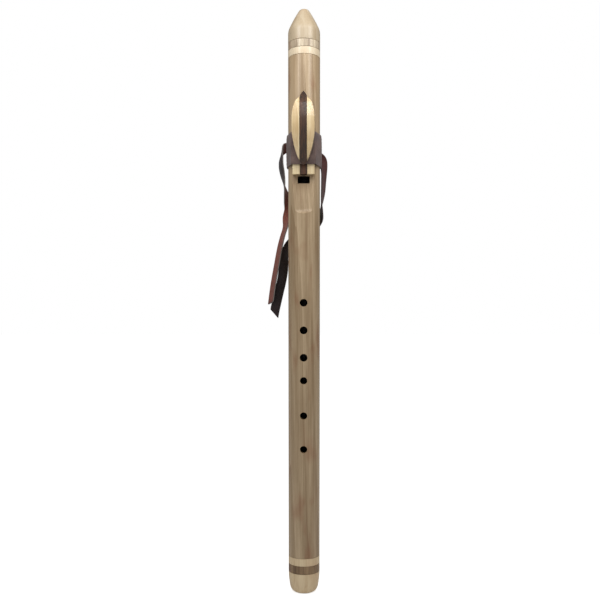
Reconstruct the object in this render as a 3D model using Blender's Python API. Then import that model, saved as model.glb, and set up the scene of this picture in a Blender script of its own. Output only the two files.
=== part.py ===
"""A native american flute, standing on its foot.

The tube is two hollowed half shells of walnut glued along the sides, with a maple ring, a walnut
ring and a turned maple cap at each end. A plug in the bore parts the slow air chamber, on the
mouth side, from the sound chamber. Breath leaves the slow chamber by a hole in the nest, runs
under the block in a shallow flue and meets the splitting edge of the sound hole. The block is
three plies, maple, walnut and maple. A leather wrap holds it down on the nest: the wrap goes
round the tube and through the slot under the block's prow, and its two tails are tied behind.

Frame: metres. +Z runs up the tube from the foot to the mouth, and the block and the finger holes
face -Y. The tube's axis is the Z axis, and the foot's flat face lies at z = 0. A reach is a
distance from the tube's axis towards -Y.
"""

import math

import bmesh
import bpy
import numpy as np
from mathutils import Matrix, Vector

for old in list(bpy.data.objects):
    bpy.data.objects.remove(old, do_unlink=True)

# Lengths along the tube, from the foot up
FOOT_CAP_LENGTH = 0.0214
FOOT_DARK_RING_LENGTH = 0.0082
FOOT_LIGHT_RING_LENGTH = 0.0080
BODY_LENGTH = 0.5196
MOUTH_LIGHT_RING_LENGTH = 0.0076
MOUTH_DARK_RING_LENGTH = 0.0080
MOUTH_CAP_LENGTH = 0.0357

# The tube's wall
FOOT_END_RADIUS = 0.0162
MOUTH_END_RADIUS = 0.0168
BORE_RADIUS = 0.0095
GLUE_GAP = 0.0003

# Mouth cap: a straight collar, a rounded shoulder, a pointed flank and a rounded tip round the
# blow hole
CAP_COLLAR_LENGTH = 0.0097
CAP_SHOULDER_LENGTH = 0.0075
CAP_SHOULDER_RADIUS = 0.0150
CAP_SHOULDER_CORNER = 0.55
CAP_FLANK_BULGE = 0.0003
CAP_TIP_RADIUS = 0.0070
CAP_TIP_LENGTH = 0.0038
CAP_RIM_WIDTH = 0.0005
CAP_TIP_CORNER = (0.42, 0.05)
BLOW_HOLE_RADIUS = 0.0032
BLOW_HOLE_LENGTH = 0.0130
BLOW_HOLE_FLARE_LENGTH = 0.0080

# Foot cap: tapers a little, then rounds under to the flat foot face
FOOT_FLANK_DRAW = 0.0002
FOOT_SHOULDER_RADIUS = 0.0146
FOOT_ROUND_HEIGHT = 0.0064
FOOT_CORNER_DRAW = 0.0009
FOOT_CORNER_HEIGHT = 0.0014
FOOT_FACE_RADIUS = 0.0094
FOOT_HOLE_RADIUS = 0.0058
FOOT_HOLE_LENGTH = 0.0070
FOOT_FLARE_LENGTH = 0.0060

# Finger holes: height of each above the foot, the radius of the upper and the lower three
FINGER_HOLE_HEIGHTS = (0.1501, 0.1847, 0.2209, 0.2445, 0.2727, 0.3011)
LOWER_HOLE_RADIUS = 0.00375
UPPER_HOLE_RADIUS = 0.0040
LOWER_HOLE_COUNT = 3

# Nest, sound hole and ramp, cut into the front of the tube
SPLITTING_EDGE_HEIGHT = 0.4244
SPLITTING_EDGE_RISE = 0.0005
SOUND_HOLE_LENGTH = 0.0078
SOUND_HOLE_WIDTH = 0.0125
NEST_FLOOR = 0.0118
FLUE_DEPTH = 0.0010
PLUG_LENGTH = 0.0100
EXIT_HOLE_LENGTH = 0.0060
RAMP_LENGTH = 0.0256
RAMP_RISE = 0.0014
COVE_LENGTH = 0.0062

# Block: a base slab on the nest and a leaf-shaped top that overhangs at both ends. The leaf's
# stations are shares of its length from the prow tip and of half its width, and the shares after
# them say where its profile turns
BASE_SETBACK = 0.0008
BASE_LENGTH = 0.0550
BASE_WIDTH = 0.0226
BASE_THICKNESS = 0.0060
CORE_WIDTH = 0.0074
PROW_SETBACK = 0.0078
TOP_LENGTH = 0.0774
TOP_WIDTH = 0.0230
TOP_HEIGHT = 0.0202
PROW_TIP_HEIGHT = 0.0152
CREST_HEIGHT = 0.0168
NOSE_TIP_HEIGHT = 0.0070
NOSE_CLEARANCE = 0.0004
NOSE_LEAST_THICKNESS = 0.0010
BASE_LAP = 0.0020
NECK_LENGTH = 0.0083
LEAF_STATIONS = (
    (0.000, 0.00),
    (0.058, 0.33),
    (0.122, 0.55),
    (0.246, 0.81),
    (0.350, 0.94),
    (0.430, 1.00),
    (0.600, 1.00),
    (0.698, 0.94),
    (0.783, 0.81),
    (0.845, 0.62),
    (0.893, 0.36),
    (0.940, 0.24),
    (1.000, 0.00),
)
PROW_EDGE_SHARE = 0.080
PROW_BEND_SHARE = 0.420
SUMMIT_SHARE = 0.600
CREST_BEND_SHARE = 0.700
CREST_SHARE = 0.825
SLIDE_UP = 0.0040
SLIDE_DOWN = 0.0020

# Leather: the wrap, the knot behind and the two tails
LEATHER_THICKNESS = 0.0016
WRAP_HEIGHT = 0.0330
WRAP_END_HEIGHT = 0.0140
WRAP_END_ANGLE = math.radians(164)
WRAP_NARROWING_ANGLE = math.radians(105)
WRAP_NARROWING_POWER = 1.5
SLOT_CLEARANCE = 0.0017
KNOT_WIDTH = 0.0230
KNOT_DEPTH = 0.0085
KNOT_HEIGHT = 0.0180
KNOT_RISE = 0.0020
KNOT_SQUARENESS = 0.8
KNOT_EDGE_SHARE = 0.12
TAIL_WIDTH = 0.0100
TAIL_STEP = 0.0045

# Routes of the tails: x, y, z and the way the dark side faces, in degrees from -Y towards +X
LEFT_TAIL_ROUTE = (
    (-0.0118, 0.0222, 0.4675, -152),
    (-0.0160, 0.0188, 0.4690, -140),
    (-0.0198, 0.0140, 0.4680, -122),
    (-0.0226, 0.0098, 0.4635, -95),
    (-0.0244, 0.0075, 0.4560, -70),
    (-0.0247, 0.0065, 0.4480, -64),
    (-0.0234, 0.0065, 0.4400, -64),
    (-0.0214, 0.0072, 0.4300, -78),
    (-0.0197, 0.0090, 0.4200, -104),
    (-0.0178, 0.0120, 0.4105, -140),
    (-0.0166, 0.0142, 0.4020, -176),
    (-0.0188, 0.0136, 0.3930, -208),
    (-0.0200, 0.0090, 0.3830, -234),
    (-0.0230, 0.0064, 0.3720, -240),
    (-0.0256, 0.0058, 0.3610, -239),
    (-0.0278, 0.0058, 0.3500, -238),
    (-0.0298, 0.0060, 0.3390, -238),
    (-0.0317, 0.0064, 0.3280, -238),
    (-0.0335, 0.0068, 0.3170, -238),
    (-0.0350, 0.0072, 0.3070, -238),
    (-0.0359, 0.0075, 0.3000, -238),
)
RIGHT_TAIL_ROUTE = (
    (0.0118, 0.0222, 0.4600, 152),
    (0.0160, 0.0190, 0.4585, 165),
    (0.0190, 0.0151, 0.4540, 195),
    (0.0205, 0.0122, 0.4470, 225),
    (0.0207, 0.0110, 0.4390, 240),
    (0.0203, 0.0108, 0.4300, 246),
    (0.0199, 0.0112, 0.4200, 251),
    (0.0190, 0.0126, 0.4105, 262),
    (0.0180, 0.0150, 0.4010, 285),
    (0.0158, 0.0182, 0.3925, 320),
    (0.0108, 0.0212, 0.3855, 345),
    (0.0048, 0.0226, 0.3800, 357),
    (-0.0020, 0.0228, 0.3755, 363),
    (-0.0088, 0.0215, 0.3715, 372),
    (-0.0148, 0.0188, 0.3665, 388),
    (-0.0192, 0.0160, 0.3600, 404),
    (-0.0214, 0.0144, 0.3525, 406),
    (-0.0222, 0.0138, 0.3440, 388),
    (-0.0229, 0.0138, 0.3350, 374),
    (-0.0246, 0.0140, 0.3250, 368),
    (-0.0270, 0.0143, 0.3150, 366),
    (-0.0293, 0.0146, 0.3050, 365),
    (-0.0315, 0.0150, 0.2955, 365),
    (-0.0332, 0.0153, 0.2865, 365),
)

# Facets
ROUND_STEPS = 64
HOLE_STEPS = 24
CURVE_STEPS = 6
CURVE_SAMPLES = 24
LEAF_STEPS = 44
WRAP_ARC_STEPS = 14
KNOT_STEPS = (16, 7)
CUT_OVERRUN = 0.003

# Heights above the foot that follow from the lengths
FOOT_CAP_TOP = FOOT_CAP_LENGTH
FOOT_DARK_TOP = FOOT_CAP_TOP + FOOT_DARK_RING_LENGTH
BODY_BOTTOM = FOOT_DARK_TOP + FOOT_LIGHT_RING_LENGTH
BODY_TOP = BODY_BOTTOM + BODY_LENGTH
MOUTH_LIGHT_TOP = BODY_TOP + MOUTH_LIGHT_RING_LENGTH
MOUTH_DARK_TOP = MOUTH_LIGHT_TOP + MOUTH_DARK_RING_LENGTH
MOUTH_TIP = MOUTH_DARK_TOP + MOUTH_CAP_LENGTH
SOUND_HOLE_TOP = SPLITTING_EDGE_HEIGHT + SOUND_HOLE_LENGTH
BASE_BOTTOM = SOUND_HOLE_TOP + BASE_SETBACK
BASE_TOP = BASE_BOTTOM + BASE_LENGTH
NEST_TOP = BASE_TOP + SLIDE_UP + GLUE_GAP
PLUG_BOTTOM = SOUND_HOLE_TOP + GLUE_GAP
PLUG_TOP = PLUG_BOTTOM + PLUG_LENGTH
EXIT_HOLE_BOTTOM = PLUG_TOP + GLUE_GAP
EXIT_HOLE_TOP = EXIT_HOLE_BOTTOM + EXIT_HOLE_LENGTH
PROW_TIP = BASE_BOTTOM + PROW_SETBACK
NOSE_TIP = PROW_TIP + TOP_LENGTH
SLOT_END = BASE_TOP - NECK_LENGTH
WRAP_TOP = SLOT_END - SLOT_CLEARANCE - SLIDE_DOWN
WRAP_BOTTOM = WRAP_TOP - WRAP_HEIGHT

# Reaches from the axis that follow from the sizes
BLOCK_SEAT = NEST_FLOOR + GLUE_GAP
BASE_FACE = BLOCK_SEAT + BASE_THICKNESS
WRAP_FACE = BASE_FACE + GLUE_GAP + LEATHER_THICKNESS
SLOT_CEILING = WRAP_FACE + SLOT_CLEARANCE


def outer_radius(z):
    """The tube's outside: an even taper from the foot joint to the mouth joint."""
    share = (z - FOOT_CAP_TOP) / (MOUTH_DARK_TOP - FOOT_CAP_TOP)
    return FOOT_END_RADIUS + share * (MOUTH_END_RADIUS - FOOT_END_RADIUS)


def material(name, colour, roughness, metallic=0.0):
    """A plain Principled material."""
    made = bpy.data.materials.new(name)
    made.use_nodes = True
    shader = made.node_tree.nodes["Principled BSDF"]
    shader.inputs["Base Color"].default_value = (*colour, 1.0)
    shader.inputs["Roughness"].default_value = roughness
    shader.inputs["Metallic"].default_value = metallic
    made.diffuse_color = (*colour, 1.0)
    return made


def add_object(name, mesh, finish=None, smooth_angle=None):
    """Link a mesh whose points are world coordinates as a new object."""
    thing = bpy.data.objects.new(name, mesh)
    bpy.context.scene.collection.objects.link(thing)
    if finish is not None:
        mesh.materials.append(finish)
    if smooth_angle is not None:
        mesh.shade_smooth()
        mesh.set_sharp_from_angle(angle=math.radians(smooth_angle))
    return thing


def as_guide(thing):
    """Mark an object as a cutter: it is drawn as wire and never rendered."""
    thing.hide_render = True
    thing.display_type = "WIRE"
    return thing


def hang_on(child, empty):
    """Parent to an empty and keep the child where it is."""
    child.parent = empty
    child.matrix_parent_inverse = Matrix.Translation(-empty.location)


def boolean(thing, operation, cutter):
    """Add an exact Boolean."""
    modifier = thing.modifiers.new(f"{operation.lower()}_{cutter.name}", "BOOLEAN")
    modifier.operation = operation
    modifier.solver = "EXACT"
    modifier.object = cutter


def mesh_of(name, bm):
    """Close a bmesh: weld doubles, point the faces outwards and hand over the mesh."""
    bmesh.ops.remove_doubles(bm, verts=bm.verts, dist=1e-6)
    bmesh.ops.recalc_face_normals(bm, faces=bm.faces)
    mesh = bpy.data.meshes.new(name)
    bm.to_mesh(mesh)
    bm.free()
    return mesh


def turned_mesh(name, profile, steps=ROUND_STEPS):
    """Spin a closed outline of (radius, z) points round the Z axis."""
    bm = bmesh.new()
    verts = [bm.verts.new((radius, 0.0, z)) for radius, z in profile]
    edges = [bm.edges.new((a, b)) for a, b in zip(verts, verts[1:] + verts[:1])]
    bmesh.ops.spin(
        bm,
        geom=verts + edges,
        cent=(0.0, 0.0, 0.0),
        axis=(0.0, 0.0, 1.0),
        angle=2 * math.pi,
        steps=steps,
        use_merge=True,
    )
    return mesh_of(name, bm)


def prism_mesh(name, outline, axis, low, high):
    """Extrude a closed outline along an axis.

    Along X the outline holds (z, reach) points, and along Y it holds (x, z) points.
    """
    bm = bmesh.new()
    if axis == "X":
        points = [(low, -reach, z) for z, reach in outline]
        push = Vector((high - low, 0.0, 0.0))
    else:
        points = [(x, low, z) for x, z in outline]
        push = Vector((0.0, high - low, 0.0))
    face = bm.faces.new([bm.verts.new(p) for p in points])
    pushed = bmesh.ops.extrude_face_region(bm, geom=[face])["geom"]
    bmesh.ops.translate(bm, vec=push, verts=[g for g in pushed if isinstance(g, bmesh.types.BMVert)])
    return mesh_of(name, bm)


def box_mesh(name, low, high):
    """A box between two corners."""
    bm = bmesh.new()
    bmesh.ops.create_cube(bm, size=1.0)
    size = [b - a for a, b in zip(low, high)]
    centre = [(a + b) / 2 for a, b in zip(low, high)]
    bmesh.ops.scale(bm, vec=size, verts=bm.verts)
    bmesh.ops.translate(bm, vec=centre, verts=bm.verts)
    return mesh_of(name, bm)


def bent(start, control, end, steps=CURVE_STEPS):
    """Points along a curve with one control point, without its first point."""
    shares = [i / steps for i in range(1, steps + 1)]
    return [
        tuple((1 - t) ** 2 * a + 2 * t * (1 - t) * b + t * t * c for a, b, c in zip(start, control, end))
        for t in shares
    ]


def smooth_line(rows, step):
    """A smooth curve through rows of numbers, sampled about every step of its x, y, z length."""
    rows = np.array(rows, float)
    ends = np.vstack([2 * rows[0] - rows[1], rows, 2 * rows[-1] - rows[-2]])
    share = np.linspace(0, 1, CURVE_SAMPLES, endpoint=False)[:, None]
    pieces = []
    for a, b, c, d in zip(ends, ends[1:], ends[2:], ends[3:]):
        bend = 2 * a - 5 * b + 4 * c - d
        swing = 3 * b - a - 3 * c + d
        pieces.append(0.5 * (2 * b + (c - a) * share + bend * share**2 + swing * share**3))
    fine = np.vstack([*pieces, rows[-1:]])
    along = np.concatenate([[0], np.cumsum(np.linalg.norm(np.diff(fine[:, :3], axis=0), axis=1))])
    at = np.linspace(0, along[-1], max(2, round(along[-1] / step)) + 1)
    return np.stack([np.interp(at, along, fine[:, k]) for k in range(rows.shape[1])], axis=1)


def sleeve_mesh(name, inner, outer):
    """A closed skin between two grids of points, joined round their four edges."""
    rows, columns = inner.shape[:2]
    bm = bmesh.new()
    skins = [[[bm.verts.new(p) for p in row] for row in grid] for grid in (inner, outer)]
    for skin in skins:
        for i in range(rows - 1):
            for j in range(columns - 1):
                bm.faces.new((skin[i][j], skin[i + 1][j], skin[i + 1][j + 1], skin[i][j + 1]))
    rim = [(i, 0) for i in range(rows)] + [(rows - 1, j) for j in range(1, columns)]
    rim += [(i, columns - 1) for i in range(rows - 2, -1, -1)] + [(0, j) for j in range(columns - 2, 0, -1)]
    for (i, j), (m, n) in zip(rim, rim[1:] + rim[:1]):
        bm.faces.new((skins[0][i][j], skins[0][m][n], skins[1][m][n], skins[1][i][j]))
    return mesh_of(name, bm)


walnut = material("walnut", (0.30, 0.20, 0.12), 0.35)
walnut_dark = material("walnut_dark", (0.16, 0.09, 0.05), 0.35)
maple = material("maple", (0.70, 0.52, 0.32), 0.35)
leather = material("leather", (0.09, 0.06, 0.05), 0.65)


# Turned end pieces


def mouth_cap():
    """The pointed cap with the blow hole, hollow inside up to the hole's flare."""
    base = MOUTH_DARK_TOP + GLUE_GAP / 2
    radius = outer_radius(MOUTH_DARK_TOP)
    collar_top = MOUTH_DARK_TOP + CAP_COLLAR_LENGTH
    tip_base = MOUTH_TIP - CAP_TIP_LENGTH
    rim_radius = BLOW_HOLE_RADIUS + CAP_RIM_WIDTH
    shoulder = (CAP_SHOULDER_RADIUS, collar_top + CAP_SHOULDER_LENGTH)
    corner = (radius, collar_top + CAP_SHOULDER_CORNER * CAP_SHOULDER_LENGTH)
    flank_middle = (CAP_SHOULDER_RADIUS + CAP_TIP_RADIUS) / 2 + 2 * CAP_FLANK_BULGE
    middle = (flank_middle, (shoulder[1] + tip_base) / 2)
    near_rim, near_tip = CAP_TIP_CORNER
    corner_radius = rim_radius + near_rim * (CAP_TIP_RADIUS - rim_radius)
    tip_corner = (corner_radius, MOUTH_TIP - near_tip * CAP_TIP_LENGTH)
    profile = [(radius, base), (radius, collar_top)]
    profile += bent((radius, collar_top), corner, shoulder)
    profile += bent(shoulder, middle, (CAP_TIP_RADIUS, tip_base))
    profile += bent(
        (CAP_TIP_RADIUS, tip_base),
        tip_corner,
        (rim_radius, MOUTH_TIP),
    )
    hole_bottom = MOUTH_TIP - BLOW_HOLE_LENGTH
    profile += [
        (BLOW_HOLE_RADIUS, MOUTH_TIP),
        (BLOW_HOLE_RADIUS, hole_bottom),
        (BORE_RADIUS, hole_bottom - BLOW_HOLE_FLARE_LENGTH),
        (BORE_RADIUS, base),
    ]
    return add_object("mouth_cap", turned_mesh("mouth_cap", profile), maple, 30)


def end_ring(name, bottom, top, finish):
    """A flat ring with the tube's bore, turned to the tube's taper."""
    low, high = bottom + GLUE_GAP / 2, top - GLUE_GAP / 2
    profile = [
        (outer_radius(low), low),
        (outer_radius(high), high),
        (BORE_RADIUS, high),
        (BORE_RADIUS, low),
    ]
    return add_object(name, turned_mesh(name, profile), finish, 30)


def foot_cap():
    """The rounded foot: its bore narrows to the foot hole, and it stands on a flat ring."""
    top = FOOT_CAP_TOP - GLUE_GAP / 2
    side_control = (outer_radius(top) - FOOT_FLANK_DRAW, (top + FOOT_ROUND_HEIGHT) / 2)
    under_control = (FOOT_SHOULDER_RADIUS - FOOT_CORNER_DRAW, FOOT_CORNER_HEIGHT)
    shoulder = (FOOT_SHOULDER_RADIUS, FOOT_ROUND_HEIGHT)
    profile = [(outer_radius(top), top)]
    profile += bent(profile[0], side_control, shoulder)
    profile += bent(shoulder, under_control, (FOOT_FACE_RADIUS, 0.0))
    profile += [
        (FOOT_HOLE_RADIUS, 0.0),
        (FOOT_HOLE_RADIUS, FOOT_HOLE_LENGTH),
        (BORE_RADIUS, FOOT_HOLE_LENGTH + FOOT_FLARE_LENGTH),
        (BORE_RADIUS, top),
    ]
    return add_object("foot_cap", turned_mesh("foot_cap", profile), maple, 30)


# Half shells of the tube


def half_shell(name, side):
    """Half of the tube, on the -Y side for side = -1 and on the +Y side for side = 1."""
    low, high = BODY_BOTTOM + GLUE_GAP / 2, BODY_TOP - GLUE_GAP / 2
    profile = [
        (outer_radius(low), low),
        (outer_radius(high), high),
        (BORE_RADIUS, high),
        (BORE_RADIUS, low),
    ]
    shell = add_object(name, turned_mesh(name, profile), walnut, 30)
    wide = MOUTH_END_RADIUS + CUT_OVERRUN
    near, far = sorted((side * GLUE_GAP / 2, side * wide))
    half = box_mesh(
        f"{name}_half", (-wide, near, BODY_BOTTOM - CUT_OVERRUN), (wide, far, BODY_TOP + CUT_OVERRUN)
    )
    boolean(shell, "INTERSECT", as_guide(add_object(f"{name}_half", half)))
    return shell


def bed_cutter():
    """The flat nest, the step up to the splitting edge, the ramp and the cove that ends it."""
    outside = MOUTH_END_RADIUS + CUT_OVERRUN
    edge = NEST_FLOOR + SPLITTING_EDGE_RISE
    ramp_bottom = SPLITTING_EDGE_HEIGHT - RAMP_LENGTH
    ramp_end = (ramp_bottom, edge + RAMP_RISE)
    cove_bottom = ramp_bottom - COVE_LENGTH
    cove_end = (cove_bottom, outer_radius(cove_bottom) + GLUE_GAP)
    outline = [
        (NEST_TOP, outside),
        (NEST_TOP, NEST_FLOOR),
        (SPLITTING_EDGE_HEIGHT, NEST_FLOOR),
        (SPLITTING_EDGE_HEIGHT, edge),
        ramp_end,
    ]
    outline += bent(ramp_end, (ramp_bottom - 0.5 * COVE_LENGTH, ramp_end[1]), cove_end, 5)
    outline += [(cove_bottom, outside)]
    wide = MOUTH_END_RADIUS + CUT_OVERRUN
    return as_guide(add_object("bed_cutter", prism_mesh("bed_cutter", outline, "X", -wide, wide)))


def windway_cutter():
    """The sound hole, the flue and the slow chamber's exit hole, in one."""
    outside = MOUTH_END_RADIUS + CUT_OVERRUN
    inside = BORE_RADIUS - 2 * CUT_OVERRUN
    floor = NEST_FLOOR - FLUE_DEPTH
    outline = [
        (SPLITTING_EDGE_HEIGHT, outside),
        (SPLITTING_EDGE_HEIGHT, inside),
        (SOUND_HOLE_TOP, inside),
        (SOUND_HOLE_TOP, floor),
        (EXIT_HOLE_BOTTOM, floor),
        (EXIT_HOLE_BOTTOM, inside),
        (EXIT_HOLE_TOP, inside),
        (EXIT_HOLE_TOP, outside),
    ]
    half = SOUND_HOLE_WIDTH / 2
    return as_guide(add_object("windway_cutter", prism_mesh("windway_cutter", outline, "X", -half, half)))


def finger_hole_cutter():
    """Six round drills through the front wall."""
    bm = bmesh.new()
    outside = MOUTH_END_RADIUS + CUT_OVERRUN
    inside = BORE_RADIUS - 2 * CUT_OVERRUN
    for i, height in enumerate(FINGER_HOLE_HEIGHTS):
        radius = LOWER_HOLE_RADIUS if i < LOWER_HOLE_COUNT else UPPER_HOLE_RADIUS
        bmesh.ops.create_cone(
            bm,
            cap_ends=True,
            segments=HOLE_STEPS,
            radius1=radius,
            radius2=radius,
            depth=outside - inside,
            matrix=Matrix.Translation((0.0, -(outside + inside) / 2, height))
            @ Matrix.Rotation(math.pi / 2, 4, "X"),
        )
    return as_guide(add_object("finger_hole_cutter", mesh_of("finger_hole_cutter", bm)))


def front_shell():
    """The front half, with everything that is cut into it."""
    shell = half_shell("front_shell", -1)
    for cutter in (bed_cutter(), windway_cutter(), finger_hole_cutter()):
        boolean(shell, "DIFFERENCE", cutter)
    return shell


def chamber_plug():
    """The wall between the two chambers, a dowel in the bore."""
    radius = BORE_RADIUS - GLUE_GAP
    bm = bmesh.new()
    bmesh.ops.create_cone(
        bm,
        cap_ends=True,
        segments=ROUND_STEPS,
        radius1=radius,
        radius2=radius,
        depth=PLUG_LENGTH,
        matrix=Matrix.Translation((0.0, 0.0, (PLUG_BOTTOM + PLUG_TOP) / 2)),
    )
    return add_object("chamber_plug", mesh_of("chamber_plug", bm), walnut_dark, 30)


# Block


def leaf_outline():
    """The block's top seen from the front: (x, z) points of a leaf with two pointed ends."""
    rows = [(share, half, 0.0) for share, half in LEAF_STATIONS]
    curve = smooth_line(rows, 1 / LEAF_STEPS)
    right = [(max(half, 0.0) * TOP_WIDTH / 2, PROW_TIP + share * TOP_LENGTH) for share, half, _ in curve]
    left = [(-x, z) for x, z in right[-2:0:-1]]
    return right + left


def side_outline():
    """The block's top seen from the side: (z, reach) points, the nose facet first."""
    crest_height = BLOCK_SEAT + CREST_HEIGHT
    summit = BLOCK_SEAT + TOP_HEIGHT
    nose_floor = outer_radius(NOSE_TIP) + NOSE_CLEARANCE
    nose_face = max(BLOCK_SEAT + NOSE_TIP_HEIGHT, nose_floor + NOSE_LEAST_THICKNESS)
    crest = (PROW_TIP + CREST_SHARE * TOP_LENGTH, crest_height)
    crest_bend = (PROW_TIP + CREST_BEND_SHARE * TOP_LENGTH, summit)
    summit_point = (PROW_TIP + SUMMIT_SHARE * TOP_LENGTH, summit)
    prow_bend = (PROW_TIP + PROW_BEND_SHARE * TOP_LENGTH, summit)
    prow_edge = (PROW_TIP + PROW_EDGE_SHARE * TOP_LENGTH, BLOCK_SEAT + PROW_TIP_HEIGHT)
    inside_base = BASE_FACE - BASE_THICKNESS / 2
    outline = [(NOSE_TIP, nose_floor), (NOSE_TIP, nose_face), crest]
    outline += bent(crest, crest_bend, summit_point)
    outline += bent(summit_point, prow_bend, prow_edge)
    outline += [
        (PROW_TIP, SLOT_CEILING),
        (SLOT_END, SLOT_CEILING),
        (SLOT_END, inside_base),
        (BASE_TOP - BASE_LAP, inside_base),
        (BASE_TOP - BASE_LAP, nose_floor),
    ]
    return outline


def block_ply(name, low, high, finish, leaf, carrier):
    """One ply of the block between two x places: its slice of the top and of the base slab."""
    half = BASE_WIDTH / 2
    base = box_mesh(
        f"{name}_base",
        (max(low, -half), -BASE_FACE, BASE_BOTTOM),
        (min(high, half), -BLOCK_SEAT, BASE_TOP),
    )
    base_slice = as_guide(add_object(f"{name}_base", base))
    ply = add_object(name, prism_mesh(name, side_outline(), "X", low, high), finish, 25)
    boolean(ply, "INTERSECT", leaf)
    boolean(ply, "UNION", base_slice)
    hang_on(base_slice, carrier)
    hang_on(ply, carrier)
    return ply


def block():
    """The three plies on one carrier, which slides along Z on the nest."""
    carrier = bpy.data.objects.new("block_slide_carrier", None)
    carrier.location = (0.0, -BLOCK_SEAT, BASE_BOTTOM)
    bpy.context.scene.collection.objects.link(carrier)
    outside = BLOCK_SEAT + TOP_HEIGHT + CUT_OVERRUN
    leaf = as_guide(
        add_object("leaf_cutter", prism_mesh("leaf_cutter", leaf_outline(), "Y", -outside, -CUT_OVERRUN))
    )
    hang_on(leaf, carrier)
    inner, face = (CORE_WIDTH - GLUE_GAP) / 2, (CORE_WIDTH + GLUE_GAP) / 2
    edge = max(TOP_WIDTH, BASE_WIDTH) / 2 + CUT_OVERRUN
    block_ply("block_core", -inner, inner, walnut_dark, leaf, carrier)
    block_ply("block_left_cheek", -edge, -face, maple, leaf, carrier)
    block_ply("block_right_cheek", face, edge, maple, leaf, carrier)


# Leather


def wrap_loop(offset):
    """The wrap's path round the tube and the base: angles from -Y and (x, y) points.

    It is the tight loop round the tube's circle and the base's two corners, moved out by an
    offset: a short arc at each corner, a straight run and the tube's own arc behind.
    """
    radius = outer_radius((WRAP_BOTTOM + WRAP_TOP) / 2)
    corner_x, corner_y = BASE_WIDTH / 2, BASE_FACE
    reach = math.hypot(corner_x, corner_y)
    lean = math.atan2(corner_x, corner_y) + math.acos(min(1.0, radius / reach))
    right = [(0.0, 0.0, corner_y + offset), (0.0, 0.5 * corner_x, corner_y + offset)]
    for angle in np.linspace(0.0, lean, 5):
        right.append((angle, corner_x + offset * math.sin(angle), corner_y + offset * math.cos(angle)))
    for angle in np.linspace(lean, WRAP_END_ANGLE, WRAP_ARC_STEPS):
        right.append((angle, (radius + offset) * math.sin(angle), (radius + offset) * math.cos(angle)))
    left = [(-angle, -x, reach_y) for angle, x, reach_y in right[:0:-1]]
    return [(angle, x, -reach_y) for angle, x, reach_y in left + right]


def leather_wrap():
    """The broad wrap: full height at the front and sides, narrowing to the knot behind."""
    loops = [wrap_loop(GLUE_GAP), wrap_loop(GLUE_GAP + LEATHER_THICKNESS)]
    middle = (WRAP_BOTTOM + WRAP_TOP) / 2
    grids = []
    for loop in loops:
        grid = []
        for angle, x, y in loop:
            past = abs(angle) - WRAP_NARROWING_ANGLE
            share = max(0.0, past / (WRAP_END_ANGLE - WRAP_NARROWING_ANGLE))
            height = WRAP_HEIGHT + share**WRAP_NARROWING_POWER * (WRAP_END_HEIGHT - WRAP_HEIGHT)
            grid.append([(x, y, middle + height * (row - 0.5)) for row in (0.0, 0.5, 1.0)])
        grids.append(np.array(grid))
    return add_object("leather_wrap", sleeve_mesh("leather_wrap", *grids), leather, 40)


def tie_knot():
    """The knot behind: a cushion-shaped lump on the wrap's two ends."""
    seat = outer_radius(WRAP_TOP) + GLUE_GAP + LEATHER_THICKNESS + GLUE_GAP
    middle = (WRAP_BOTTOM + WRAP_TOP) / 2 + KNOT_RISE
    turns, rings = KNOT_STEPS
    bm = bmesh.new()
    bmesh.ops.create_uvsphere(bm, u_segments=turns, v_segments=rings, radius=1.0)
    for vert in bm.verts:
        x, y, z = vert.co
        across = math.copysign(abs(x) ** KNOT_SQUARENESS, x) * KNOT_WIDTH / 2
        up = math.copysign(abs(z) ** KNOT_SQUARENESS, z) * KNOT_HEIGHT / 2
        seat_here = math.sqrt(max(seat**2 - min(abs(across), seat) ** 2, 0.0))
        swell = KNOT_EDGE_SHARE + (1 - KNOT_EDGE_SHARE) * y if y > 0 else 0.0
        depth = seat_here + KNOT_DEPTH * swell
        vert.co = (across, depth, middle + up)
    return add_object("tie_knot", mesh_of("tie_knot", bm), leather, 60)


def tail(name, route):
    """A flat strap carried along its route, turning so that its dark side faces as the route says."""
    line = smooth_line(route, TAIL_STEP)
    points, facing = line[:, :3], np.radians(line[:, 3])
    tangent = np.gradient(points, axis=0)
    tangent /= np.linalg.norm(tangent, axis=1)[:, None]
    face = np.stack([np.sin(facing), -np.cos(facing), np.zeros_like(facing)], axis=1)
    face -= (face * tangent).sum(1)[:, None] * tangent
    face /= np.linalg.norm(face, axis=1)[:, None]
    across = np.cross(tangent, face)
    edges = [points + side * across * TAIL_WIDTH / 2 for side in (-1, 1)]
    skins = [
        np.stack([edge + side * face * LEATHER_THICKNESS / 2 for edge in edges], axis=1) for side in (-1, 1)
    ]
    return add_object(name, sleeve_mesh(name, *skins), leather, 60)


mouth_cap()
end_ring("mouth_dark_ring", MOUTH_LIGHT_TOP, MOUTH_DARK_TOP, walnut_dark)
end_ring("mouth_light_ring", BODY_TOP, MOUTH_LIGHT_TOP, maple)
front_shell()
half_shell("back_shell", 1)
chamber_plug()
end_ring("foot_light_ring", FOOT_DARK_TOP, BODY_BOTTOM, maple)
end_ring("foot_dark_ring", FOOT_CAP_TOP, FOOT_DARK_TOP, walnut_dark)
foot_cap()
block()
leather_wrap()
tie_knot()
tail("tie_left_tail", LEFT_TAIL_ROUTE)
tail("tie_right_tail", RIGHT_TAIL_ROUTE)
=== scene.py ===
"""The looks of a native american flute that stands on its foot.

The turned caps and rings are surfaces of revolution with eased edges. The half shells and the
block's plies keep the solids' shapes, with a small round on every sharp edge and the shells' seam
drawn in. The plug inside the tube is the solid itself. The leather wrap, the knot and the two
tails are skins carried round or along a path. Sizes are in metres, in the part's frame: +Z runs up
the tube and the block and the finger holes face -Y. An angle round the tube is counted from -Y
towards +X.
"""

import math

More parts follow.
